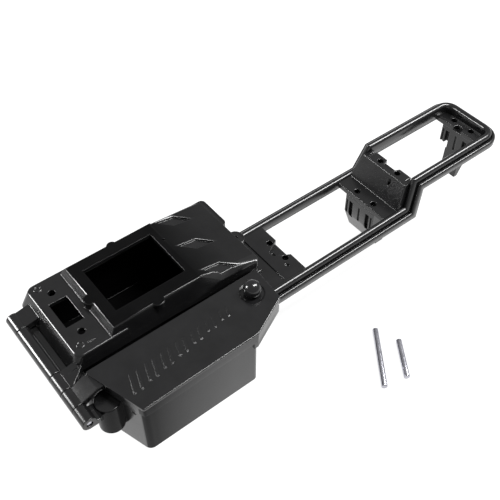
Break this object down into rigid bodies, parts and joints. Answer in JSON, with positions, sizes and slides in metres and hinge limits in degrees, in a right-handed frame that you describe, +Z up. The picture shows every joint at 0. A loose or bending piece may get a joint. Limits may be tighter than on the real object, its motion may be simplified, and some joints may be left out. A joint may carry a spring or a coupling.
{
  "type": "radio tray",
  "caption": "Black moulded radio tray: a two-bay box with a windowed lid and a flat side lid on one hinge line, and a stepped twin-rail servo frame, with loose steel hinge pins.",
  "frame": {"origin": "middle of the outline on the surface that the tray stands on", "axes": "+X from the hinge line to the tail of the frame, +Y away from the flat side lid, +Z up"},
  "size_m": [0.2198, 0.108, 0.0371],
  "materials": {
    "plastic": "satin black, finely textured",
    "gloss": "polished black",
    "steel": "bright ground"
  },
  "bodies": {
    "chassis": {"tub": "plastic", "long_hinge_barrel": "plastic", "short_hinge_barrel": "plastic", "post_boss": "plastic", "left_rail": "plastic", "right_rail": "plastic", "left_riser": "plastic", "right_riser": "plastic", "tail_left_rail": "plastic", "tail_right_rail": "plastic", "tail_bar": "plastic", "front_deck": "plastic", "front_post": "plastic", "step_deck": "plastic", "mid_post": "plastic", "riser_post": "plastic", "tail_deck": "plastic", "tail_post": "plastic", "long_hinge_pin": "steel", "short_hinge_pin": "steel", "loose_long_pin": "steel", "loose_short_pin": "steel"},
    "main_lid": {"main_lid": "plastic", "lid_tab": "plastic"},
    "side_lid": {"side_lid": "plastic", "snap_stud": "gloss"}
  },
  "joints": [
    {"name": "main_lid_hinge", "type": "hinge", "parent": "chassis", "child": "main_lid", "pos_m": [-0.10715, 0.02903, 0.0246], "axis": [0, -1, 0], "range_deg": [0, 110]},
    {"name": "side_lid_hinge", "type": "hinge", "parent": "chassis", "child": "side_lid", "pos_m": [-0.10715, 0.00278, 0.0246], "axis": [0, -1, 0], "range_deg": [0, 110]}
  ]
}
